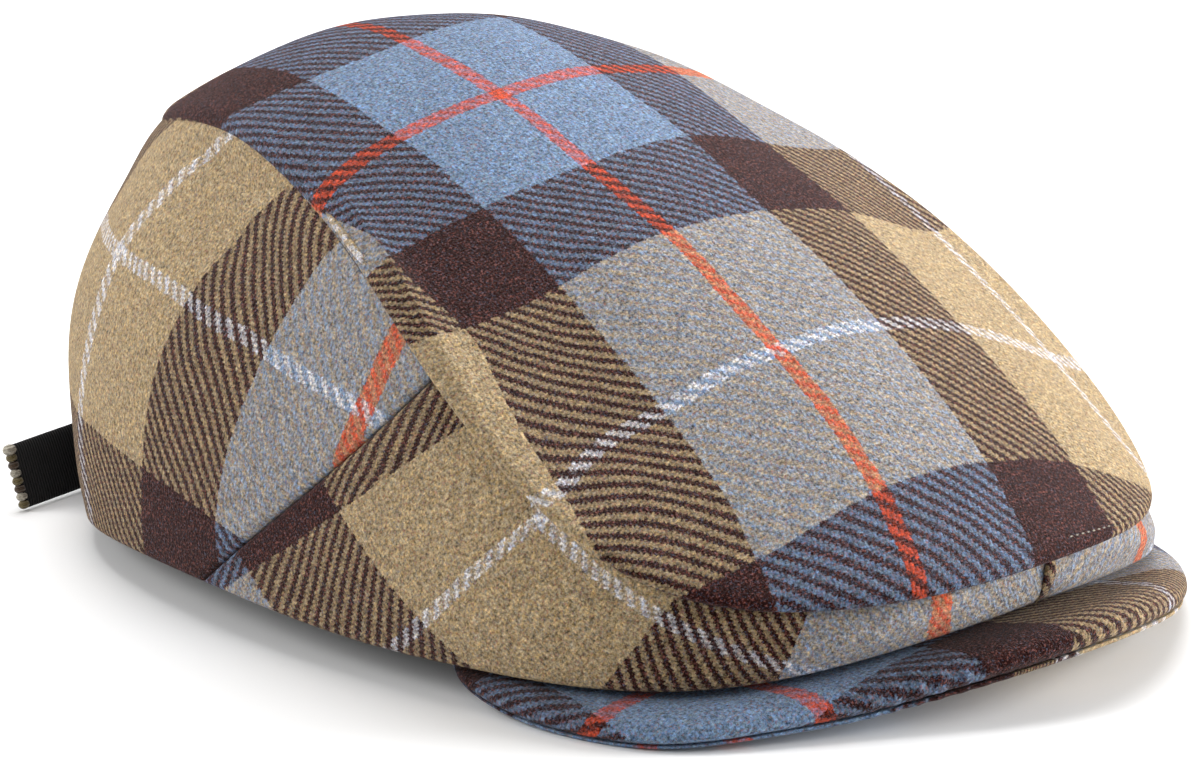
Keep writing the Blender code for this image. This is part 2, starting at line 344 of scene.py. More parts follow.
    def wall_face(self, angle: Array, high: Array) -> Array:
        """Band's outer face: a ruled wall from rim to top seam, swollen.

        The rim lies on the peak in front and is free at the back. The
        swell is 4 h (1 - h) times a bulge that depends on the angle, less
        a soft dent high on the right of the back.

        Args:
            angle: Angles round the cap, radians.
            high: Shares of height, 0 at the rim.

        Returns:
            Points in mm.
        """
        rim = self.outline(angle, self.rim, (self.half_width, self.back_reach, self.crown_rise))
        turn, cosine = np.degrees(angle), np.cos(angle)
        free = ease((np.abs(turn) - self.lift_off[0]) / self.lift_off[1])
        seated = self.peak_height(rim[..., 0], rim[..., 1]) + self.gap + self.round
        level = seated * (1.0 - free) + rim[..., 2] * free
        low = np.stack([-rim[..., 0], -rim[..., 1], level], axis=-1)
        top = self.top_at(angle, self.lip, self.cloth + self.gap)
        bulge = (self.front_bulge * np.clip(cosine, 0, 1) ** 2
                 + self.side_bulge * np.sin(angle) ** 2
                 + self.back_bulge * np.clip(-cosine, 0, 1) ** 2)
        hollow = self.dent * bell(turn, *self.dent_at[0]) * bell(high, *self.dent_at[1])
        swell = bulge * 4.0 * high * (1.0 - high) - hollow
        return low + (top - low) * high[..., None] + outward(angle) * swell[..., None]

    def wall_chart(self, angle: Array, high: Array) -> tuple:
        """Distances walked on the wall: round it, and up it.

        The first is taken at half height from the right side's middle,
        the second straight up from the rim at each angle.

        Args:
            angle: Angles round the cap, radians.
            high: Shares of height.

        Returns:
            Both distances in mm.
        """
        dial, level = np.radians(np.arange(0.0, 361.0)), np.linspace(0.0, 1.0, 61)
        face = self.wall_face(*np.meshgrid(dial, level, indexing="ij"))
        round_cap = travel(face[:, 30], 0)
        walk = np.interp(angle, dial, round_cap) - round_cap[90]
        return walk, look_up(travel(face, 1), np.degrees(angle), high * 60.0)

    def seam_angle(self, high: Array) -> Array:
        """Side seam's angle at each share of height, in radians."""
        return np.radians(self.seam[0] + self.seam[1] * high + self.seam[2] * high ** 2)


def new_thing(name: str, data: bpy.types.ID) -> bpy.types.Object:
    """Put new data into the scene as an object.

    Args:
        name: Name of the object.
        data: Its mesh, light or camera.

    Returns:
        The object, linked to the scene.
    """
    thing = bpy.data.objects.new(name, data)
    bpy.context.scene.collection.objects.link(thing)
    return thing


@dataclass
class Shell:
    """A closed shell gathered from grids of points, with its cloth map."""

    points: Array = field(default_factory=lambda: np.zeros((0, 3)))
    places: Array = field(default_factory=lambda: np.zeros((0, 2)))
    quads: list = field(default_factory=list)
    triangles: list = field(default_factory=list)

    def add(self, points: Array, places: Array) -> Array:
        """Add points with their places on the cloth.

        Args:
            points: Grid or row of points, mm.
            places: Cloth places of the same grid, mm.

        Returns:
            The points' index grid.
        """
        start = len(self.points)
        self.points = np.concatenate([self.points, points.reshape(-1, 3)])
        self.places = np.concatenate([self.places, places.reshape(-1, 2)])
        return np.arange(start, len(self.points)).reshape(points.shape[:-1])

    def skin(self, index: Array, look: int, wrap: bool = False) -> None:
        """Cover an index grid with quads.

        Args:
            index: Index grid, rows by columns.
            look: Material slot of these faces.
            wrap: True joins the last row to the first.
        """
        after = np.roll(index, -1, axis=0) if wrap else index[1:]
        here = index if wrap else index[:-1]
        corners = [here[:, :-1], after[:, :-1], after[:, 1:], here[:, 1:]]
        self.quads.append((np.stack(corners, axis=-1).reshape(-1, 4), look))

    def strip(self, first: Array, second: Array, look: int, wrap: bool = False) -> None:
        """Join two index rows with a strip of quads."""
        self.skin(np.stack([first, second], axis=-1), look, wrap)

    def hub(self, ring: Array, look: int) -> None:
        """Close a ring of points with triangles to its middle.

        Args:
            ring: Indices of the points, in order.
            look: Index of the material.
        """
        middle = self.points[ring].mean(axis=0)[None], self.places[ring].mean(axis=0)[None]
        centre = np.full(len(ring), self.add(*middle)[0])
        self.triangles.append((np.stack([centre, ring, np.roll(ring, -1)], axis=-1), look))

    def tube(self, grid: Array, places: Array) -> None:
        """Add a tube with closed ends.

        Args:
            grid: Points in mm, one ring a row.
            places: Their places on the cloth.
        """
        index = self.add(grid, places)
        self.skin(index.T, 0, wrap=True)
        self.hub(index[0], 0)
        self.hub(index[-1], 0)

    def close_end(self, fine: Array, coarse: Array) -> None:
        """Close a seam end, where the inner row has fewer points.

        Each outer edge joins the nearest inner point, and each inner edge
        the outer point where that choice changes.

        Args:
            fine: Outer index row.
            coarse: Inner index row.
        """
        apart = np.linalg.norm(self.points[fine][:, None] - self.points[coarse][None], axis=-1)
        near = np.maximum.accumulate(apart.argmin(axis=1))
        near[0], near[-1] = 0, len(coarse) - 1
        self.triangles.append((np.stack([fine[:-1], fine[1:], coarse[near[:-1]]], axis=-1), 0))
        change = near[1:] - near[:-1]
        for step in range(1, int(change.max()) + 1):
            here = np.nonzero(change >= step)[0]
            inner = near[here] + step
            turn = np.stack([fine[here + 1], coarse[inner], coarse[inner - 1]], axis=-1)
            self.triangles.append((turn, 0))

    def make(self, name: str, materials: list, slot: str, *nodes: str) -> None:
        """Turn the shell into a piece with outward faces on the one body.

        Args:
            name: The piece's name.
            materials: Materials in slot order.
            slot: The record's material slot; not used.
            nodes: CAD nodes that it stands for.
        """
        blocks = self.quads + self.triangles
        faces = [corners for block, _ in blocks for corners in block.tolist()]
        looks = np.concatenate([np.full(len(block), look) for block, look in blocks])
        mesh = bpy.data.meshes.new(name)
        mesh.from_pydata((self.points * MM).tolist(), [], faces)
        mesh.polygons.foreach_set("material_index", looks.astype(np.int32))
        mesh.polygons.foreach_set("use_smooth", np.full(len(faces), True))
        cloth = mesh.uv_layers.new(name="cloth")
        corner = np.zeros(len(mesh.loops), np.int32)
        mesh.loops.foreach_get("vertex_index", corner)
        cloth.data.foreach_set("uv", (self.places[corner] * MM).astype(np.float32).ravel())
        work = bmesh.new()
        work.from_mesh(mesh)
        bmesh.ops.recalc_face_normals(work, faces=work.faces)
        work.to_mesh(mesh)
        work.free()
        for material in materials:
            mesh.materials.append(material)
        piece = new_thing(name, mesh)
        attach(piece, "root")
        if nodes:
            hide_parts(*nodes)
        mesh.calc_loop_triangles()
        log.info("%s: %d triangles", name, len(mesh.loop_triangles))


# ------------------------------------------------------------ materials


def colour(red: float, green: float, blue: float) -> tuple:
    """Screen colour as linear light, by the sRGB curve.

    Args:
        red: Red, 0 to 255.
        green: Green, 0 to 255.
        blue: Blue, 0 to 255.

    Returns:
        Red, green and blue light from 0 to 1, and full alpha.
    """
    share = np.array([red, green, blue]) / 255.0
    light = np.where(share <= 0.04045, share / 12.92, ((share + 0.055) / 1.055) ** 2.4)
    return tuple(float(v) for v in light) + (1.0,)


@dataclass
class Wire:
    """A node's output that stands in a formula like a number."""

    bench: "Bench"
    socket: bpy.types.NodeSocket

    def __add__(self, other: object) -> "Wire":
        """This value plus another."""
        return self.bench.math("ADD", self, other)

    def __sub__(self, other: object) -> "Wire":
        """This value less another."""
        return self.bench.math("SUBTRACT", self, other)

    def __mul__(self, other: object) -> "Wire":
        """This value times another."""
        return self.bench.math("MULTIPLY", self, other)

    def __truediv__(self, other: object) -> "Wire":
        """This value divided by another."""
        return self.bench.math("DIVIDE", self, other)


class Bench:
    """Places nodes in one tree and links them by short calls."""

    def __init__(self, tree: bpy.types.NodeTree) -> None:
        """Start on an existing tree."""
        self.tree = tree

    def node(self, kind: str, inputs: dict, **settings: object) -> bpy.types.Node:
        """Add a node.

        Args:
            kind: Its type's name after "ShaderNode".
            inputs: What feeds its inputs, by their names or numbers.
            settings: Its plain settings.

        Returns:
            The node.
        """
        made = self.tree.nodes.new("ShaderNode" + kind)
        for name, value in settings.items():
            setattr(made, name, value)
        self.fill(made, inputs)
        return made

    def fill(self, node: bpy.types.Node, inputs: dict) -> None:
        """Link a node's inputs to outputs, or give them constants."""
        for name, value in inputs.items():
            if isinstance(value, Wire):
                self.tree.links.new(value.socket, node.inputs[name])
            else:
                node.inputs[name].default_value = value

    def out(self, node: bpy.types.Node, name: object = 0) -> Wire:
        """A node's output by its name or number."""
        return Wire(self, node.outputs[name])

    def math(self, operation: str, *values: object) -> Wire:
        """Result of a math operation on wires or numbers, in order."""
        return self.out(self.node("Math", dict(enumerate(values)), operation=operation))

    def scaled(self, vector: object, factor: object) -> Wire:
        """Vector or colour times a number."""
        inputs = {0: vector, "Scale": factor}
        return self.out(self.node("VectorMath", inputs, operation="SCALE"))

    def blend(self, share: object, first: object, second: object, kind: str = "MIX") -> Wire:
        """Mix two colours.

        Args:
            share: How much of the second, 0 to 1.
            first: Colour wire or value.
            second: Colour wire or value.
            kind: Blender's blend type.

        Returns:
            The mixed colour.
        """
        inputs = {"Factor": share, 6: first, 7: second}
        return self.out(self.node("Mix", inputs, data_type="RGBA", blend_type=kind), 2)

    def between(self, share: object, low: object, high: object) -> Wire:
        """Number between low and high, at a share held to 0..1."""
        inputs = {"Factor": share, 2: low, 3: high}
        return self.out(self.node("Mix", inputs, data_type="FLOAT"))

    def noise(self, place: Wire, scale: float, detail: float, rough: float) -> Wire:
        """Noise value, 0 to 1, at a place.

        Args:
            place: Vector wire.
            scale: Bumps per unit of the place.
            detail: Octaves.
            rough: Share that each finer octave keeps.

        Returns:
            The value.
        """
        inputs = {"Vector": place, "Scale": scale, "Detail": detail, "Roughness": rough}
        return self.out(self.node("TexNoise", inputs), "Fac")

    def spread(self, value: Wire, low: float, high: float) -> Wire:
        """Map a 0.3 to 0.7 value onto low to high, held to that range."""
        inputs = {"Value": value, "From Min": 0.3, "From Max": 0.7, "To Min": low, "To Max": high}
        return self.out(self.node("MapRange", inputs))

    def stops(self, value: Wire, table: list) -> Wire:
        """Colour that changes in hard steps.

        Args:
            value: Wire from 0 to 1.
            table: Rows of start and colour.

        Returns:
            The colour.
        """
        made = self.node("ValToRGB", {"Fac": value})
        ramp = made.color_ramp
        ramp.interpolation = "CONSTANT"
        for index, (start, tint) in enumerate(table):
            stop = ramp.elements[index] if index < 2 else ramp.elements.new(start)
            stop.position = start
            stop.color = tint
        return self.out(made)

    def cloth_map(self) -> Wire:
        """The piece's own cloth map, in metres."""
        return self.out(self.node("UVMap", {}, uv_map="cloth"))

    def object_place(self) -> Wire:
        """The place on the object, in metres."""
        return self.out(self.node("TexCoord", {}), "Object")


@dataclass
class Paint:
    """A new material with its shader."""

    name: str

    def __post_init__(self) -> None:
        """Make the material and find its shader."""
        self.material = bpy.data.materials.new(self.name)
        self.material.use_nodes = True
        self.bench = Bench(self.material.node_tree)
        self.shader = self.material.node_tree.nodes["Principled BSDF"]

    def coat(self, **inputs: object) -> None:
        """Feed the shader's inputs, an underscore standing for a space."""
        named = {name.replace("_", " "): value for name, value in inputs.items()}
        self.bench.fill(self.shader, named)

    def emboss(self, height: Wire, strength: float, depth: float) -> None:
        """Raise the surface by a height of 0 to 1, depth metres at most."""
        inputs = {"Strength": strength, "Distance": depth, "Height": height}
        self.coat(Normal=self.bench.out(self.bench.node("Bump", inputs), "Normal"))


@dataclass
class Yarn:
    """One direction's threads: how round, which thread, tint and marks."""

    round: Wire
    thread: Wire
    tint: Wire
    weight: Wire
    orange: Wire
    brown: Wire


@dataclass(frozen=True)
class Sett:
    """The plaid's stripes, measured from the middle of a blue one, in mm.

    Each grain is a noise in object millimetres: scale, detail, roughness.
    """

    blue: float = 27.0
    brown: float = 53.0
    half_repeat: float = 90.0
    stripe: float = 2.1
    thread: float = 0.88
    orange_tint: tuple = colour(196, 76, 48)
    blue_tint: tuple = colour(112, 139, 170)
    brown_tint: tuple = colour(38, 14, 10)
    khaki_tint: tuple = colour(168, 150, 116)
    white_tint: tuple = colour(206, 206, 210)
    # each tint's weight, in that order; two yarns' sum says how crisp
    weights: tuple = (0.2, 0.0, 0.767, 0.3, 1.0)
    crispness: tuple = (1.5, -0.6)
    # share of the first yarn that shows: where it lies under, and added on top
    soft: tuple = (0.33, 0.34)
    crisp: tuple = (0.13, 0.74)
    orange_lean: float = 0.16
    brown_lean: float = 0.20
    drift: float = 3.0
    drift_grain: tuple = (0.035, 2.0, 0.5)
    fray_grain: tuple = (1.1, 4.0, 0.8)
    tangle: float = 2.3
    tangle_grain: tuple = (1.7, 4.0, 0.75)
    fleck_grain: tuple = (1.5, 4.0, 0.75)
    fleck_range: tuple = (0.05, 1.95)
    mottle_grain: tuple = (0.6, 3.0, 0.65)
    mottle_range: tuple = (0.76, 1.24)
    # a yarn's painted shade, as light kept at its edge and more added on its back, and its height
    yarn_painted_shade: tuple = (0.8, 0.3)
    yarn_height: float = 0.45
    fleck_height: float = 1.1
    # warm and cool flecks, then pink and blue hairs: grain, range, tint, blend
    hairs: tuple = (
        ((1.25, 3.0, 0.70), (-0.10, 0.90), (1.24, 1.00, 0.60, 1.0), "MULTIPLY"),
        ((1.45, 3.0, 0.70), (0.90, -0.10), (0.82, 0.98, 1.36, 1.0), "MULTIPLY"),
        ((1.90, 3.0, 0.75), (-0.95, 0.72), colour(168, 104, 94), "MIX"),
        ((2.30, 3.0, 0.75), (0.52, -1.00), colour(116, 132, 160), "MIX"))

    def ramps(self) -> list:
        """Stops along half a repeat of the plaid.

        Returns:
            Four tables of start and colour: the tints, the weights as
            greys, and a mark on the orange and on the brown stripe.
        """
        starts = (0.0, self.stripe, self.blue, self.brown, self.half_repeat - self.stripe)
        tints = (self.orange_tint, self.blue_tint, self.brown_tint, self.khaki_tint,
                 self.white_tint)
        greys = (self.weights, (1, 0, 0, 0, 0), (0, 0, 1, 0, 0))
        columns = [tints] + [[(grey, grey, grey, 1.0) for grey in row] for row in greys]
        shares = [start / self.half_repeat for start in starts]
        return [list(zip(shares, column)) for column in columns]

    def yarn(self, bench: Bench, place: Wire) -> Yarn:
        """Colour the threads that cross one direction.

        The thread's middle, folded at every half repeat, picks its tint
        and marks. Its roundness is the sine of its share crossed.

        Args:
            bench: The group's bench.
            place: Distance along that direction, mm.

        Returns:
            The yarn's wires.
        """
        count = place / self.thread
        whole = bench.math("FLOOR", count)
        middle = (whole + 0.5) * self.thread
        share = bench.math("PINGPONG", middle, self.half_repeat) / self.half_repeat
        arch = bench.math("SINE", bench.math("FRACT", count) * math.pi)
        return Yarn(arch, whole, *[bench.stops(share, ramp) for ramp in self.ramps()])

    def group(self) -> bpy.types.NodeTree:
        """Build the weave's node group.

        A place's distance from the nearest blue middle, both ways, picks
        each yarn's colour. A two-up two-down twill picks which yarn shows:
        the one on top changes at every second thread, so the sum of both
        thread numbers is divided by four. Each yarn has a weight of its
        own, and the two weights' sum says how crisp the twill's lines are.
        Flecks and stray hairs are noise on Grain. Each yarn's colour is darkened at its edges and
        lightened on its back, as painted shade between threads.

        Returns:
            A group from Cloth and Grain (mm) to Color and Height.
        """
        tree = bpy.data.node_groups.new("plaid_twill", "ShaderNodeTree")
        for way, kind, name in (("INPUT", "Vector", "Cloth"), ("INPUT", "Vector", "Grain"),
                                ("INPUT", "Float", "Fray"), ("OUTPUT", "Color", "Color"),
                                ("OUTPUT", "Float", "Height")):
            tree.interface.new_socket(name=name, in_out=way, socket_type="NodeSocket" + kind)
        bench = Bench(tree)
        start, end = tree.nodes.new("NodeGroupInput"), tree.nodes.new("NodeGroupOutput")
        cloth, grain, fray = [bench.out(start, name) for name in ("Cloth", "Grain", "Fray")]
        split = bench.node("SeparateXYZ", {0: cloth})
        drift = (bench.noise(grain, *self.drift_grain) - 0.5) * self.drift
        slip = (bench.noise(grain, *self.fray_grain) - 0.5) * fray
        warp = self.yarn(bench, bench.out(split, 0) + drift + slip)
        weft = self.yarn(bench, bench.out(split, 1) + drift - slip)
        fourth = bench.math("FRACT", (warp.thread + weft.thread) / 4.0)
        over = bench.math("LESS_THAN", fourth, 0.49)
        contrast = (warp.weight + weft.weight) * self.crispness[0] + self.crispness[1]
        lean = ((warp.orange - weft.orange) * self.orange_lean
                + (warp.brown - weft.brown) * self.brown_lean)
        soft, crisp = [over * step + low for low, step in (self.soft, self.crisp)]
        tangle = (bench.noise(grain, *self.tangle_grain) - 0.5) * self.tangle
        shown = bench.between(contrast, soft, crisp) + lean + tangle
        tint = bench.blend(bench.out(bench.node("Clamp", {"Value": shown})), weft.tint, warp.tint)
        body = bench.between(over, weft.round, warp.round)
        fleck = bench.noise(grain, *self.fleck_grain)
        mottle = bench.spread(bench.noise(grain, *self.mottle_grain), *self.mottle_range)
        light = bench.spread(fleck, *self.fleck_range) * mottle
        # painted shade: each yarn darkened at its edges and lightened on its back
        tint = bench.scaled(tint, light * (body * self.yarn_painted_shade[1] + self.yarn_painted_shade[0]))
        for noise, reach, hair, kind in self.hairs:
            share = bench.spread(bench.noise(grain, *noise), *reach)
            tint = bench.blend(share, tint, hair, kind)
        height = body * self.yarn_height + fleck * self.fleck_height
        bench.fill(end, {"Color": tint, "Height": height})
        return tree


@dataclass(frozen=True)
class WoolFinish:
    """Brushed wool that reads its pattern from the piece's cloth map."""

    weave: bpy.types.NodeTree
    fray: float = 2.1
    bump: tuple = (0.75, 0.0006)
    rough: float = 0.92
    shine: float = 0.04
    sheen: tuple = (0.13, 0.35, (1.0, 0.93, 0.9, 1.0))

    def material(self, name: str) -> Material:
        """Build the wool's material.

        Args:
            name: The material's name.

        Returns:
            The material.
        """
        paint = Paint(name)
        bench = paint.bench
        inputs = {"Cloth": bench.scaled(bench.cloth_map(), 1.0 / MM),
                  "Grain": bench.scaled(bench.object_place(), 1.0 / MM), "Fray": self.fray}
        weave = bench.node("Group", inputs, node_tree=self.weave)
        paint.coat(Base_Color=bench.out(weave, "Color"), Roughness=self.rough,
                   Specular_IOR_Level=self.shine, Sheen_Weight=self.sheen[0],
                   Sheen_Roughness=self.sheen[1], Sheen_Tint=self.sheen[2])
        paint.emboss(bench.out(weave, "Height"), *self.bump)
        return paint.material


@dataclass(frozen=True)
class PlainFinish:
    """One-colour cloth or tape with flecks and ribs. Ribs are in mm."""

    tint: tuple
    dark: tuple
    rib: float
    depth: float = 0.0003
    rough: float = 0.9
    sheen: float = 0.2
    shine: float = 0.25
    # noises on object metres: scale, detail, roughness
    fleck: tuple = (1800.0, 3.0, 0.7)
    patch: tuple = (216.0, 2.0, 0.5)

    def material(self, name: str) -> Material:
        """Build the cloth's material.

        The colour is a mix of seven parts fleck and three parts patch. The
        height is the fleck plus half the sine of the ribs.

        Args:
            name: The material's name.

        Returns:
            The material.
        """
        paint = Paint(name)
        bench = paint.bench
        place = bench.object_place()
        fleck = bench.noise(place, *self.fleck)
        share = fleck * 0.7 + bench.noise(place, *self.patch) * 0.3
        along = bench.out(bench.node("SeparateXYZ", {0: bench.cloth_map()}))
        ribs = bench.math("SINE", along * (2.0 * math.pi / (self.rib * MM)))
        paint.coat(Base_Color=bench.blend(bench.spread(share, 0.0, 1.0), self.dark, self.tint),
                   Roughness=self.rough, Specular_IOR_Level=self.shine, Sheen_Weight=self.sheen)
        paint.emboss(ribs * 0.5 + fleck, 0.8, self.depth)
        return paint.material


# --------------------------------------------------------------- pieces


@dataclass
class ClothPiece:
    """What every piece of plaid cloth is made from."""

    form: CapForm
    wool: Material
    lining: Material


@dataclass
class CrownTop(ClothPiece):
    """The crown's top panel: one puffed cloth with a folded lip all round."""

    rows: int = 288
    columns: int = 84
    lip_rows: int = 12
    fold: float = 2.5
    rear_fold: float = 3.4
    under_inset: float = 1.2
    # share of the cloth's depth at the lip's outermost line, and more behind
    waist: tuple = (0.5, 0.36)
    lip_cloth: float = 0.7
    unevenness: float = 0.6
    # fuller place: mm, then its angle and share of radius, each with spread
    temple: tuple = (1.3, (72.0, 16.0), (0.93, 0.045))
    # cloth places: weight, power of the walk right, power of the walk ahead
    across_terms: tuple = (
        (-19.8, 0, 0), (0.967, 1, 0), (0.025, 0, 1), (0.0006, 0, 2),
        (-0.0000168, 0, 3), (-0.00002, 2, 1))
    along_terms: tuple = (
        (29.4, 0, 0), (0.04, 1, 0), (1.08, 0, 1), (0.0033, 2, 0), (0.001, 1, 1),
        (0.0011, 0, 2), (-0.000016, 0, 3), (-0.000026, 2, 1))

    def lay(self, disc_x: Array, disc_y: Array) -> Array:
        """Where each point falls on the plaid.

        Arc lengths across and along the panel are walked on an even grid
        of the disc, then turned, shifted and bowed a little as the cloth
        was pulled over the head block. Three eased pulls near the left
        edge follow, behind, at the middle and ahead.

        Args:
            disc_x: Share to the wearer's right.
            disc_y: Share forward.

        Returns:
            Cloth places in mm.
        """
        half = 120
        line = np.linspace(-1.0, 1.0, 2 * half + 1)
        face = self.form.top_face(*np.meshgrid(line, line, indexing="ij"))
        wide, long = travel(face, 0), travel(face, 1)
        spot = (disc_x + 1.0) * half, (disc_y + 1.0) * half
        side = look_up(wide - wide[half:half + 1], *spot)
        ahead = look_up(long - long[:, half:half + 1], *spot)
        edge = np.clip((side - 46.0) / 26.0, 0.0, 1.2)
        across = (bowed(self.across_terms, side, ahead) + 4.0 * edge * bell(ahead, 6.0, 14.0)
                  - 5.0 * edge * ease((-ahead - 24.0) / 20.0))
        edge = np.clip((side - 40.0) / 34.0, 0.0, 1.2)
        along = (bowed(self.along_terms, side, ahead) - 10.0 * edge ** 2 * bell(ahead, -42.0, 22.0)
                 - 8.5 * ease((side - 62.0) / 24.0) * bell(ahead, 42.0, 18.0))
        return np.stack([across, along], axis=-1)

    def relief(self, points: Array, share: Array) -> Array:
        """Soft unevenness of worn cloth, fading out at the lip.

        Two crossed waves, and a fuller place beside the right temple.

        Args:
            points: Points of the face, mm.
            share: Share of the disc's radius.

        Returns:
            Height over the face, mm.
        """
        x, y = points[..., 0], points[..., 1]
        wave = (np.sin(0.052 * x + 0.021 * y + 0.6) * np.sin(0.043 * y - 0.018 * x)
                + 0.6 * np.sin(0.11 * x - 0.05 * y + 1.9) * np.sin(0.085 * y + 0.4))
        tall, at, level = self.temple
        full = tall * bell(np.degrees(np.arctan2(-x, -y)), *at) * bell(share, *level)
        return self.unevenness * wave * (1.0 - share ** 8) + full

    def face(self, angle: Array, share: Array, depth: float) -> tuple:
        """Uneven face of the panel and its cloth places.

        Args:
            angle: Angles round the cap.
            share: Shares of the disc's radius.
            depth: Depth under the outer face, mm.

        Returns:
            Points and places, both in mm.
        """
        disc = np.sin(angle) * share, np.cos(angle) * share
        flat = self.form.top_face(*disc)
        height = self.relief(flat, share) - depth
        return flat + self.form.top_normal(*disc) * height[..., None], self.lay(*disc)

    def lip(self, angle: Array, fold: Array) -> tuple:
        """The folded edge: half an ellipse from the outer to the inner face.

        Args:
            angle: Angles round the cap, one a row.
            fold: Where the fold starts, mm in from the edge.

        Returns:
            Points and places, both in mm.
        """
        form = self.form
        turn = np.linspace(0.0, math.pi, self.lip_rows)[1:-1]
        around = np.broadcast_to(angle, (self.rows, len(turn)))
        over = turn < math.pi / 2
        inset = np.where(over, fold, self.under_inset) * (1.0 - np.sin(turn))
        waist = form.cloth * (self.waist[0] + self.waist[1] * rear(angle))
        depth = waist - np.cos(turn) * np.where(over, waist, form.cloth - waist)
        share = form.top_share(around, inset)
        place = self.lay(np.sin(around) * share, np.cos(around) * share)
        out = unit(place - self.lay(np.sin(around) * 0.9, np.cos(around) * 0.9))
        return form.top_at(around, inset, depth), place + out * (depth * self.lip_cloth)[..., None]

    def build(self) -> None:
        """Make the panel."""
        form = self.form
        angle = circle(self.rows)[:, None]
        fold = self.fold + self.rear_fold * rear(angle)
        share = form.top_share(angle, fold) * np.linspace(0.012, 1.0, self.columns)[None]
        outer = zip(self.face(angle, share, 0.0), self.lip(angle, fold))
        inside = form.top_share(angle, self.under_inset)
        shell = Shell()
        face = shell.add(*[np.concatenate(pair, axis=1) for pair in outer])
        under = shell.add(*self.face(angle, inside * np.linspace(1.0, 0.05, 26)[None], form.cloth))
        shell.skin(face, 0, wrap=True)
        shell.strip(face[:, -1], under[:, 0], 0, wrap=True)
        shell.skin(under, 1, wrap=True)
        shell.hub(face[:, 0], 0)
        shell.hub(under[:, -1], 1)
        shell.make("crown_cloth", [self.wool, self.lining], "wool_crown", "top_panel")


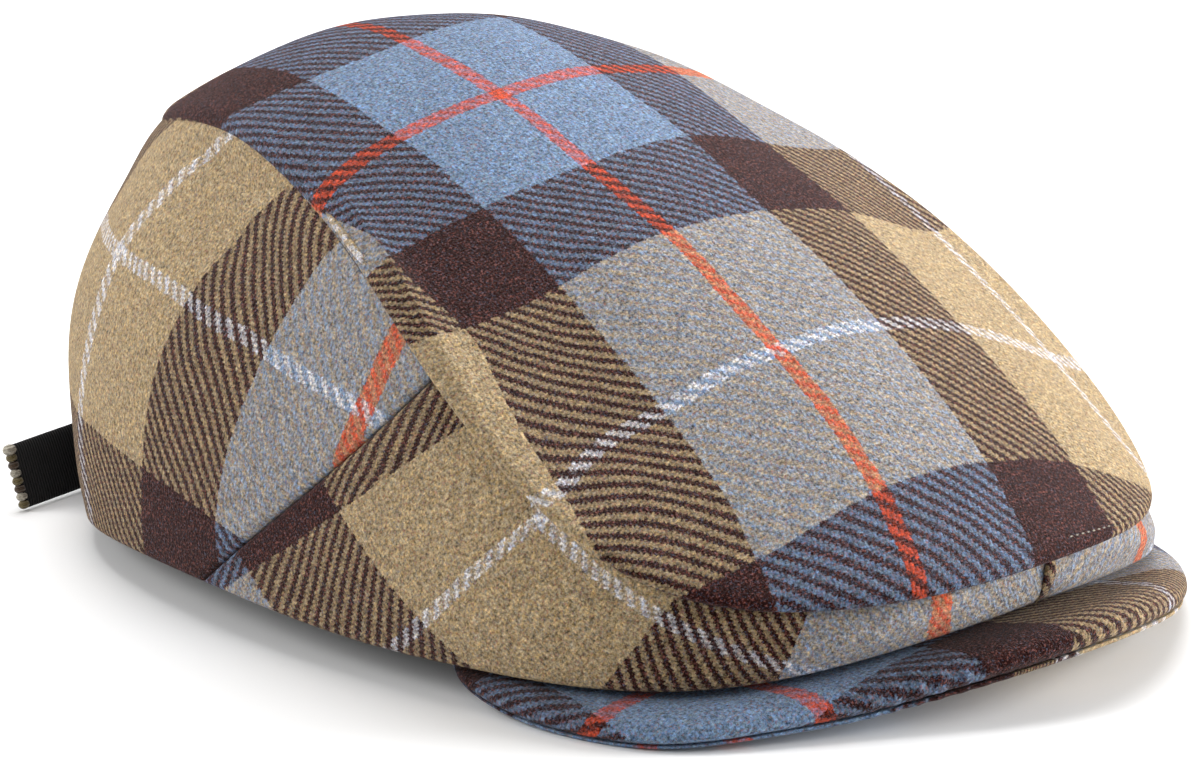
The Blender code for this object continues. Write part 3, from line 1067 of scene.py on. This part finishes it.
@dataclass
class Band(ClothPiece):
    """The band: two side panels that meet at the front, and the back."""

    # pushed out: under the lip, mm and reach down; left front, mm and angle
    flush: tuple = (2.3, 12.0)
    left_out: tuple = (3.4, (40.0, 17.0))
    unevenness: float = 0.5
    # ridge and crease: mm, then angle and share of height, each with spread
    folds: tuple = ((1.5, (130.0, 9.0), (0.87, 0.045)), (-1.7, (139.0, 9.0), (0.93, 0.035)))
    seam_gap: float = 0.16
    front_gap: float = 0.15
    front_radius: float = 120.0
    side_grid: tuple = (240, 56)
    back_grid: tuple = (320, 72)
    inner_rows: int = 14
    # folds at the borders, reach and drop: outer rim, inner rim, inner seam
    rim_fold: tuple = (1.5, 1.2)
    inner_rim_fold: tuple = (1.5, 1.15)
    inner_seam_fold: tuple = (0.8, 0.42)
    seam_drop: float = 1.3
    seam_reach: float = 2.4
    front_reach: float = 2.2
    # cloth places: weight, power of the walk round, power of the rise
    across_terms: tuple = (
        (-62.0, 0, 0), (-0.50, 1, 0), (0.83, 0, 1), (0.0005, 2, 0), (-0.0052, 1, 1),
        (0.0018, 0, 2))
    along_terms: tuple = (
        (-22.5, 0, 0), (-0.823, 1, 0), (-0.544, 0, 1), (0.00013, 2, 0), (-0.0081, 1, 1),
        (-0.0033, 0, 2))
    back_terms: tuple = ((47.2, 0, 0), (0.19, 1, 0), (-0.0004, 2, 0), (-1.0, 0, 1))

    def raised(self, angle: Array, high: Array, tall: Array, side: Side) -> Array:
        """Outer face, pushed out under the lip so that the seam closes.

        The left front also stands out a little at the rim.

        Args:
            angle: Angles round the cap.
            high: Shares of height.
            tall: The wall's height in mm at each angle.
            side: Which half.

        Returns:
            Points in mm.
        """
        push = self.flush[0] * rear(angle) * bell(tall * (1.0 - high), 0.0, self.flush[1])
        if side is Side.LEFT:
            out, at = self.left_out
            push = push + out * bell(np.degrees(angle), *at) * (1.0 - high) ** 1.5
        return self.form.wall_face(angle, high) + outward(angle) * push[..., None]

    def slopes(self, points: Array) -> Array:
        """Outward normals of a wall grid, from its own differences.

        Args:
            points: Grid of points, rows round the cap, mm.

        Returns:
            Vectors of length one.
        """
        normal = unit(np.cross(np.gradient(points, axis=1), np.gradient(points, axis=0)))
        level = points[..., :2] - np.array([0.0, -10.0])
        side = (normal[..., :2] * level).sum(axis=-1, keepdims=True)
        return normal * np.where(side.mean() < 0.0, -1.0, 1.0)

    def relief(self, angle: Array, high: Array) -> Array:
        """Soft unevenness of the band's cloth.

        Two crossed waves, and high on the right of the back a crease with
        a ridge under it, each a bell in angle and height.

        Args:
            angle: Angles round the cap.
            high: Shares of height.

        Returns:
            Height over the face, mm.
        """
        wave = np.sin(9.0 * angle + 2.0 * high) * np.sin(5.2 * high + 0.7 + 2.0 * angle)
        height = self.unevenness * wave * ease(high * 6.0) * ease((1.0 - high) * 6.0)
        for tall, at, level in self.folds:
            height = height + tall * bell(np.degrees(angle), *at) * bell(high, *level)
        return height

    def panel(self, side: Side, angle: Array, high: Array, first: float) -> Shell:
        """Shell of one panel from its grid of angles and heights.

        The outer face turns in at every border by a quarter ellipse, and
        the inner face meets it there.

        Args:
            side: Which half, or the whole back.
            angle: Grid of angles, rows round the cap.
            high: Heights, columns up the wall.
            first: Fold reach of the first row, mm.

        Returns:
            The closed shell.
        """
        form = self.form
        high = np.broadcast_to(high, angle.shape)
        walk, rise = form.wall_chart(angle, high)
        if side is Side.BACK:
            places = self.back_places(walk, rise)
        else:
            places = self.side_places(walk, rise, side)
        base = self.raised(angle, high, rise[:, -1:], side)
        normal = self.slopes(base)
        base = base + normal * self.relief(angle, high)[..., None]
        walk = travel(base, 0)
        depth = roll(rise, *self.rim_fold)
        back_depth = form.cloth - roll(rise, *self.inner_rim_fold)
        for gone, reach in ((walk, first), (walk[-1:] - walk, self.seam_reach)):
            depth = np.maximum(depth, roll(gone, reach, self.seam_drop))
            back_depth = np.minimum(back_depth, form.cloth - roll(gone, *self.inner_seam_fold))
        pick = np.unique(np.linspace(0, high.shape[1] - 1, self.inner_rows).astype(int))
        inner = (base - normal * back_depth[..., None])[:, pick]
        inset, deep = form.lip + form.cloth, form.cloth + form.gap
        inner[:, -1] = form.top_at(angle[:, -1], inset, deep)
        shell = Shell()
        face = shell.add(base - normal * depth[..., None], places)
        under = shell.add(inner, places[:, pick])
        shell.skin(face, 0)
        shell.skin(under, 1)
        shell.strip(face[:, 0], under[:, 0], 0)
        shell.strip(face[:, -1], under[:, -1], 1)
        for row in (0, -1):
            shell.close_end(face[row], under[row])
        return shell

    def side_places(self, walk: Array, rise: Array, side: Side) -> Array:
        """Where a side panel's points fall on the plaid.

        The grain climbs to the front at about 30 degrees, and both yarns
        bow. Past a limit the cloth is crowded by a hyperbolic tangent, and
        a patch high on the middle lies further back. The left panel is
        shifted, and crowded at its front.

        Args:
            walk: Distance from the side's middle towards the back, mm.
            rise: Distance up from the rim, mm.
            side: Which half.

        Returns:
            Cloth places in mm.
        """
        across = bowed(self.across_terms, walk, rise)
        across = np.where(across > 8.0, 8.0 + 24.0 * np.tanh((across - 8.0) / 24.0), across)
        patch = ease((walk + 43.0) / 12.0) * ease((2.0 - walk) / 16.0) * ease((rise - 29.0) / 10.0)
        across = across - 8.0 * patch
        along = bowed(self.along_terms, walk, rise)
        if side is Side.LEFT:
            along = along + 10.0 - 0.27 * (rise - 12.0)
            front = ease((-85.0 - walk) / 20.0)
            crowded = 90.0 + 26.0 * np.tanh((along - 90.0) / 28.0)
            along = along * (1.0 - front) + front * crowded
        return np.stack([across + 90.0, along + 90.0], axis=-1)

    def back_places(self, walk: Array, rise: Array) -> Array:
        """Where the back panel's points fall on the plaid.

        The yarn up the middle bows, and its white stripe is drawn wider.

        Args:
            walk: Distance from the right side's middle towards the back, mm.
            rise: Distance up from the rim, mm.

        Returns:
            Cloth places in mm.
        """
        high = np.maximum(rise - 75.0, 0.0)
        reach = 102.0 - 0.0045 * (rise - 68.0) ** 2 - 0.018 * high ** 2 - walk
        stretch = 1.1 - 0.0016 * np.maximum(reach, 0.0)
        across = reach * stretch * (1.0 - 0.45 * bell(reach, 0.0, 8.0))
        along = bowed(self.back_terms, walk, rise)
        return np.stack([across + 90.0, -(along + 90.0)], axis=-1)

    def build_side(self, side: Side) -> None:
        """Make one side panel, mirrored for the left half.

        Args:
            side: Which half.
        """
        form = self.form
        rows, columns = self.side_grid
        high = crowd(columns)[None]
        front = self.front_gap / self.front_radius
        last = form.seam_angle(high) - self.seam_gap / form.half_width
        angle = front + (last - front) * crowd(rows)[:, None]
        shell = self.panel(side, angle, high, self.front_reach)
        if side is Side.LEFT:
            shell.points = shell.points * np.array([-1.0, 1.0, 1.0])
        shell.make("band_cloth_" + side.value, [self.wool, self.lining], "wool_band",
                   "side_panel_" + side.value)

    def build_back(self) -> None:
        """Make the back panel between the two side seams."""
        form = self.form
        rows, columns = self.back_grid
        high = crowd(columns)[None]
        seam = form.seam_angle(high) + self.seam_gap / form.half_width
        angle = seam + (2.0 * math.pi - 2.0 * seam) * crowd(rows)[:, None]
        shell = self.panel(Side.BACK, angle, high, self.seam_reach)
        shell.make("back_cloth", [self.wool, self.lining], "wool_band", "back_panel")

    def build(self) -> None:
        """Make the three panels."""
        self.build_side(Side.RIGHT)
        self.build_side(Side.LEFT)
        self.build_back()


@dataclass
class Peak(ClothPiece):
    """The peak: plaid cloth rolled over its front edge, and its under cloth."""

    rows: int = 400
    nose: float = 3.0
    # the head opening's edge: swing a turn, share of half width, flat front
    opening: tuple = (0.75, 0.935, 0.11)
    # draw-ins of the edge: mm, angle round the peak, spread
    draws: tuple = ((4.4, -56.0, 15.0), (-2.2, -24.0, 16.0))
    nose_reach: float = 8.0
    nose_turn: float = 152.0
    under_inset: float = 0.7
    under_scale: tuple = (-0.87, 1.0)
    under_shift: tuple = (60.0, -100.0)

    def rims(self, turn: Array) -> tuple:
        """The peak's outline and the head opening's edge, in plan.

        Args:
            turn: Angle round the peak.

        Returns:
            Right and forward of each, mm.
        """
        form = self.form
        out = form.outline(turn, form.peak_edge, (form.half_width, form.peak_reach))
        pace, wide, flat = self.opening
        right = wide * form.half_width * np.sin(turn * pace)
        front = (flat + (1.0 - flat) * np.cos(turn * pace)) * form.opening_front
        return out, np.stack([right, front], axis=-1)

    def flat(self, inset: Array, turn: Array) -> Array:
        """Points of the peak's plan from its outline inwards.

        Args:
            inset: Distance in from the outline, mm.
            turn: Angle round the peak.

        Returns:
            Right and forward, mm.
        """
        out, into = self.rims(turn)
        share = np.minimum(inset / self.width(turn), 1.0)
        return out + (into - out) * share[..., None]

    def tuck(self, turn: Array) -> Array:
        """How far the edge draws in, in mm.

        It goes under the band at both corners, draws in on the far left
        and stands out beside it, and ripples a little on the right.

        Args:
            turn: Angle round the peak.

        Returns:
            Distance in from the solid's outline.
        """
        around = np.degrees(turn)
        ends = 5.0 * (1.0 - ease((92.0 - np.abs(around)) / 22.0))
        left = sum(deep * bell(around, *at) for deep, *at in self.draws)
        bumps = 0.3 * np.sin(around * 2.6) * bell(around, 22.0, 9.0)
        return ends + left + bumps

    def width(self, turn: Array) -> Array:
        """Distance from the outline to the head opening, mm."""
        out, into = self.rims(turn)
        return np.linalg.norm(out - into, axis=-1)

    def lay(self, plan: Array, past: Array) -> Array:
        """Where the peak's points fall on the plaid.

        Args:
            plan: Right and forward, mm.
            past: Extra distance over the rolled edge, mm.

        Returns:
            Cloth places in mm.
        """
        middle = plan * (0.55, 0.0) + (0.0, 62.0)
        plan = plan + unit(plan - middle) * past[..., None]
        right, front = plan[..., 0] - 55.0, plan[..., 1] - 91.0
        across = (0.95 * (right - 0.05 * front) + 0.2 * np.clip(4.0 - front, 0.0, 30.0)
                  - 10.0 * ease((-25.0 - right) / 26.0))
        return np.stack([across, 0.87 * front], axis=-1)

    def points(self, plan: Array, depth: Array) -> Array:
        """Plan points at a depth under the upper face, a third deeper in front.

        Args:
            plan: Right and forward, mm.
            depth: Depth under the face, mm.

        Returns:
            Points in mm.
        """
        face = self.form.peak_height(plan[..., 0], plan[..., 1])
        height = face - depth * (1.0 + 0.35 * ease((face - 5.6) / 5.0))
        return np.stack([-plan[..., 0], -plan[..., 1], height], axis=-1)

    def frame(self) -> tuple:
        """Turns round the peak, its width, its tuck and its slimness there.

        Returns:
            Angles, width in mm, distance drawn in, share of thickness kept.
        """
        turn = np.linspace(-1.0, 1.0, self.rows)[:, None] * 4.0 * STEP
        wide = self.width(turn)
        slim = 0.5 + 0.5 * ease((92.0 - np.abs(np.degrees(turn))) / 26.0)
        return turn, wide, np.minimum(self.tuck(turn), 0.45 * wide), slim

    def build_cover(self) -> None:
        """Upper cloth: its face, the rolled nose and its own inner face."""
        turn, wide, edge, slim = self.frame()
        reach = np.minimum(self.nose_reach, 0.5 * (wide - edge))
        share = np.linspace(1.0, 0.0, 40)[None] ** 1.15
        plan = self.flat(edge + reach + (wide - edge - reach) * share, turn)
        bend = np.radians(np.linspace(0.0, self.nose_turn, 20))[None, 1:]
        over = bend < math.pi / 2
        nose_inset = edge + np.where(over, reach, 0.275 * reach) * (1.0 - np.sin(bend))
        nose_depth = slim * self.nose * (1.0 - np.cos(bend) * np.where(over, 1.0, 0.5))
        past = np.where(over, 0.0, 2.2 * (bend - math.pi / 2)) + nose_depth * 0.4
        plan = np.concatenate([plan, self.flat(nose_inset, turn)], axis=1)
        flat = np.zeros((self.rows, share.shape[1]))
        start = 0.425 * reach
        in_inset = edge + start + (wide - edge - start) * np.linspace(0.0, 1.0, 12)[None]
        in_plan = self.flat(in_inset, turn)
        in_depth = slim * self.form.cloth + np.zeros(in_inset.shape)
        in_depth[:, 0] = nose_depth[:, -1]
        shell = Shell()
        face = shell.add(self.points(plan, np.concatenate([flat, nose_depth], axis=1)),
                         self.lay(plan, np.concatenate([flat, past], axis=1)))
        back = shell.add(self.points(in_plan, in_depth),
                         self.lay(in_plan, np.zeros_like(in_inset)))
        shell.skin(face, 0)
        shell.skin(back, 1)
        shell.strip(face[:, -1], back[:, 0], 0)
        shell.strip(back[:, -1], face[:, 0], 0)
        for row in (0, -1):
            shell.close_end(face[row], back[row][::-1])
        shell.make("peak_cloth", [self.wool, self.lining], "wool_peak", "peak_upper")

    def build_under(self) -> None:
        """Under cloth, thinned at the nose, its edge showing below it."""
        cloth, gap = self.form.cloth, self.form.gap
        turn, wide, edge, slim = self.frame()
        inside = (wide - edge - self.under_inset) * np.linspace(0.0, 1.0, 30)[None] ** 1.6
        plan = self.flat(edge + self.under_inset + inside, turn)
        thin = 1.78 * ease((5.2 - inside) / 1.6)
        place = plan * self.under_scale + self.under_shift
        place[..., 1] += 48.0 * ease((28.0 - plan[..., 0]) / 16.0)
        shell = Shell()
        face = shell.add(self.points(plan, slim * (cloth + gap + thin)), place)
        low = slim * (2.0 * cloth + gap - roll(inside, 1.0, 0.4))
        back = shell.add(self.points(plan, low), place)
        shell.skin(face, 0)
        shell.skin(back, 0)
        for first, second in ((face[:, 0], back[:, 0]), (face[:, -1], back[:, -1]),
                              (face[0], back[0]), (face[-1], back[-1])):
            shell.strip(first, second, 0)
        shell.make("peak_lining", [self.wool], "wool_peak", "peak_under")

    def build(self) -> None:
        """Make both cloths."""
        self.build_cover()
        self.build_under()


@dataclass
class Strap:
    """The adjusting tape over the back rim, its end overcast with yarn."""

    form: CapForm
    tape: Material
    yarns: list
    width: float = 14.0
    thick: float = 2.0
    tail: float = 47.0
    sag: float = 0.0006
    lean: float = 0.30
    # angles of the sewn part's ends, and the tail's heading, in degrees
    sewn: tuple = (193.0, 176.0)
    heading: float = -7.0
    stitches: int = 8
    # a stitch's half sizes along, out and across, times its own scale, mm
    stitch_size: tuple = (1.15, 1.2, 0.95)
    stitch_scale: float = 1.05
    corner_scale: float = 1.3

    def path(self) -> tuple:
        """Middle line of the tape, its facing and its crosswise direction.

        The sewn part follows the wall. The tail runs straight on, sags by
        the square of its length and leans back.

        Returns:
            Three rows of vectors, the first in mm.
        """
        wall, nudge = self.form.wall_face, 1e-3
        sewn = np.radians(np.linspace(*self.sewn, 8))
        level = np.full_like(sewn, 0.10)
        walk = wall(sewn + nudge, level) - wall(sewn - nudge, level)
        rise = wall(sewn, level + nudge) - wall(sewn, level - nudge)
        normal = unit(np.cross(rise, walk))
        normal = normal * np.sign((normal * outward(sewn)).sum(axis=-1, keepdims=True))
        points = wall(sewn, level) + normal * (self.form.gap + self.thick / 2.0 + 0.25)
        heading = math.radians(self.heading)
        forward = np.array([-math.cos(heading), math.sin(heading), 0.0])
        reach = np.linspace(0.0, self.tail, 12)[1:, None]
        tail = points[-1] + reach * forward - self.sag * reach ** 2 * (0.0, 1.0, 0.0)
        points = np.concatenate([points, tail])
        share = np.linspace(0.0, 1.0, len(points))
        facing = np.concatenate([normal, np.repeat(normal[-1:], len(reach), axis=0)])
        facing = facing + share[:, None] * (0.0, 0.0, self.lean)
        fine = np.linspace(0.0, 1.0, 90)
        points, facing = [np.stack([np.interp(fine, share, column) for column in rows.T], axis=-1)
                          for rows in (points, facing)]
        along = unit(np.gradient(points, axis=0))
        across = unit(np.cross(along, unit(facing)))
        return points, np.cross(across, along), across

    def build_tape(self) -> None:
        """Woven tape: a circle squared off by powers of its cosine and sine."""
        points, facing, across = self.path()
        ring = circle(40)[None, :, None]
        flat = np.sign(np.cos(ring)) * np.abs(np.cos(ring)) ** 0.35
        deep = np.sign(np.sin(ring)) * np.abs(np.sin(ring)) ** 0.8
        grid = (points[:, None] + across[:, None] * flat * (self.width / 2.0 - 0.05)
                + facing[:, None] * deep * self.thick * 0.42)
        wide = flat[..., 0] * self.width / 2.0
        walk, wide = np.broadcast_arrays(travel(points, 0)[:, None], wide)
        shell = Shell()
        shell.tube(grid, np.stack([walk, wide], axis=-1))
        shell.make("strap_tape", [self.tape], "strap_webbing", "back_strap")

    def build_beads(self) -> None:
        """Overcast stitches along the tape's cut end, one loop beside the next."""
        points, facing, across = self.path()
        along = unit(points[-1] - points[-2])
        tall, turn = np.meshgrid(np.linspace(0.15, math.pi - 0.15, 9), circle(12), indexing="ij")
        ball = np.stack([np.sin(tall) * np.cos(turn), np.sin(tall) * np.sin(turn), np.cos(tall)],
                        axis=-1) * self.stitch_size @ np.stack([along, facing[-1], across[-1]])
        seats = np.linspace(-1.0, 1.0, self.stitches) * (self.width / 2.0 - 1.0)
        for kind, yarn in enumerate(self.yarns):
            shell = Shell()
            for seat in range(kind, self.stitches, len(self.yarns)):
                size = self.corner_scale if seat == 0 else self.stitch_scale
                middle = points[-1] - along * 0.2 + across[-1] * seats[seat]
                shell.tube(middle + ball * size, np.stack([tall, turn], axis=-1))
            shell.make(f"strap_overcast_{kind}", [yarn], "strap_webbing")

    def build(self) -> None:
        """Make the tape and its overcast end."""
        self.build_tape()
        self.build_beads()


@dataclass
class Trims:
    """Small raised bits: two folded tucks at seams, and a tack of thread."""

    form: CapForm
    wool: Material
    thread: Material
    # each bead's half width and height in mm, and its cloth place
    seam_tuck: tuple = ((0.8, 0.75), (74.0, 88.5))
    front_tuck: tuple = ((1.7, 0.7), (62.0, 45.0))
    stitch: tuple = ((0.16, 0.16), (0.0, 0.0))
    # in degrees from the front: the seam tuck's ends, the stitches' starts
    seam_span: tuple = (116.0, 105.5)
    stitch_span: tuple = (2.2, 9.8)
    stitch_turn: float = 0.55

    def bead(self, shell: Shell, line: Array, out: Array, size: tuple, place: tuple) -> None:
        """Add a raised bead along a line, tapered at both ends.

        Args:
            shell: The shell that takes it.
            line: Row of points, mm.
            out: The cloth's outward direction, one or one a point.
            size: Half of its width and its height over the line, mm.
            place: Cloth place at its start, mm.
        """
        half, tall = size
        out = np.broadcast_to(out, line.shape)
        across = unit(np.cross(unit(np.gradient(line, axis=0)), out))
        ring = circle(16)[None, :, None]
        share = np.linspace(-1.0, 1.0, len(line))
        thin = np.clip(1.0 - np.abs(share) ** 5, 0.12, 1.0)[:, None, None]
        grid = (line[:, None] + across[:, None] * np.cos(ring) * half * thin
                + out[:, None] * np.sin(ring) * tall * thin)
        walk, wide = np.broadcast_arrays(travel(line, 0)[:, None], np.cos(ring[..., 0]) * half)
        shell.tube(grid, np.stack([walk, wide], axis=-1) + place)

    def build_tucks(self) -> None:
        """Folded cloth at the side seam's top and over the front seam."""
        shell = Shell()
        turn = np.radians(np.linspace(*self.seam_span, 40))
        line = self.form.top_at(turn, 1.2, 0.9)
        self.bead(shell, line, unit(outward(turn, 1.2)), *self.seam_tuck)
        high = np.linspace(0.04, 0.96, 40)
        wall = self.form.wall_face(np.full_like(high, math.radians(0.4)), high)
        self.bead(shell, wall, np.array([0.0, -1.0, 0.0]), *self.front_tuck)
        shell.make("seam_tucks", [self.wool], "wool_band")

    def build_tack(self) -> None:
        """A few small stitches beside the lip, left of the front."""
        shell = Shell()
        for start in np.linspace(*self.stitch_span, 8):
            turn = np.linspace(start, start + self.stitch_turn, 7)
            line = self.form.top_at(-np.radians(turn), 3.0 - 0.12 * turn, -0.12)
            self.bead(shell, line, np.array([0.0, -0.5, 0.87]), *self.stitch)
        shell.make("lip_tack", [self.thread], "wool_crown")

    def build(self) -> None:
        """Make the tucks and the stitches."""
        self.build_tucks()
        self.build_tack()


@dataclass
class Studio:
    """Plain floor, soft light and the photograph's camera.

    The target is in mm, and focal is pixels per mm there, 1200 across.
    """

    azimuth: float = -48.0
    elevation: float = 14.8
    distance: float = 950.0
    target: tuple = (8.4, -8.8, 34.0)
    focal: float = 4.87
    photo_width: float = 1200.0
    sensor: float = 36.0
    grey: float = 0.86
    reach: float = 3.0
    surround: float = 0.31
    # name, place in metres, side in metres, watts
    lamps: tuple = (
        ("overhead", (0.45, 0.45, 1.2), 1.1, 22.0), ("right_side", (1.2, -1.0, 0.38), 0.8, 49.0),
        ("left_side", (-0.9, 0.9, 0.6), 0.9, 15.0), ("front_fill", (-0.7, -1.2, 0.9), 1.0, 1.0))

    def build_floor(self) -> None:
        """A wide pale floor that isn't part of the cap."""
        mesh = bpy.data.meshes.new("floor")
        far = self.reach
        corners = [(-far, -far, 0), (far, -far, 0), (far, far, 0), (-far, far, 0)]
        mesh.from_pydata(corners, [], [(0, 1, 2, 3)])
        paint = Paint("floor_paint")
        paint.coat(Base_Color=(self.grey, self.grey, self.grey, 1.0), Roughness=0.9)
        mesh.materials.append(paint.material)
        floor = new_thing("floor", mesh)

    def build_lights(self) -> None:
        """An even white surround, and square soft lamps that look at the cap."""
        world = bpy.data.worlds.new("studio")
        world.use_nodes = True
        sky = world.node_tree.nodes["Background"]
        sky.inputs["Color"].default_value = (1.0, 1.0, 1.0, 1.0)
        sky.inputs["Strength"].default_value = self.surround
        bpy.context.scene.world = world
        for name, place, size, power in self.lamps:
            lamp = bpy.data.lights.new(name, "AREA")
            lamp.energy, lamp.size = power, size
            thing = new_thing(name, lamp)
            thing.location = place
            aim = Vector((0.0, -0.01, 0.04)) - Vector(place)
            thing.rotation_euler = aim.to_track_quat("-Z", "Y").to_euler()

    def build_camera(self) -> None:
        """Camera at the photograph's angle."""
        side, up = math.radians(self.azimuth), math.radians(self.elevation)
        level = math.cos(up)
        back = Vector((math.sin(side) * level, -math.cos(side) * level, math.sin(up)))
        lens = bpy.data.cameras.new("view")
        lens.sensor_fit, lens.sensor_width = "HORIZONTAL", self.sensor
        lens.lens = self.sensor * self.focal * self.distance / self.photo_width
        lens.clip_start = 0.01
        eye = new_thing("view", lens)
        eye.location = (Vector(self.target) + back * self.distance) * MM
        eye.rotation_euler = (-back).to_track_quat("-Z", "Y").to_euler()
        bpy.context.scene.camera = eye

    def build(self) -> None:
        """Set the stage."""
        bpy.context.scene.view_settings.view_transform = "Standard"
        self.build_floor()
        self.build_lights()
        self.build_camera()


def overcast_yarn(name: str, *tint: float) -> Material:
    """Thick yarn of a screen colour, its shade a little over half as light."""
    shade = [value * 0.55 for value in tint]
    return PlainFinish(colour(*tint), colour(*shade), 0.6).material("overcast_" + name)


def main() -> None:
    """Dress the cap, piece by piece."""
    logging.basicConfig(level=logging.INFO, format="%(name)s %(message)s")
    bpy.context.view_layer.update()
    form = CapForm()
    wool = WoolFinish(Sett().group()).material("plaid_wool")
    satin = PlainFinish(colour(74, 62, 58), colour(48, 40, 38), 1.2, rough=0.45)
    lining = satin.material("satin_lining")
    webbing = PlainFinish(colour(22, 22, 23), colour(7, 7, 8), 0.8, depth=0.0002, sheen=0.04)
    tape = webbing.material("black_tape")
    yarns = [overcast_yarn("cream", 190, 182, 165), overcast_yarn("olive", 122, 108, 70),
             overcast_yarn("umber", 84, 66, 50)]
    CrownTop(form, wool, lining).build()
    Band(form, wool, lining).build()
    Peak(form, wool, lining).build()
    Strap(form, tape, yarns).build()
    Trims(form, wool, yarns[0]).build()
    Studio().build()


if __name__ == "__main__":
    main()
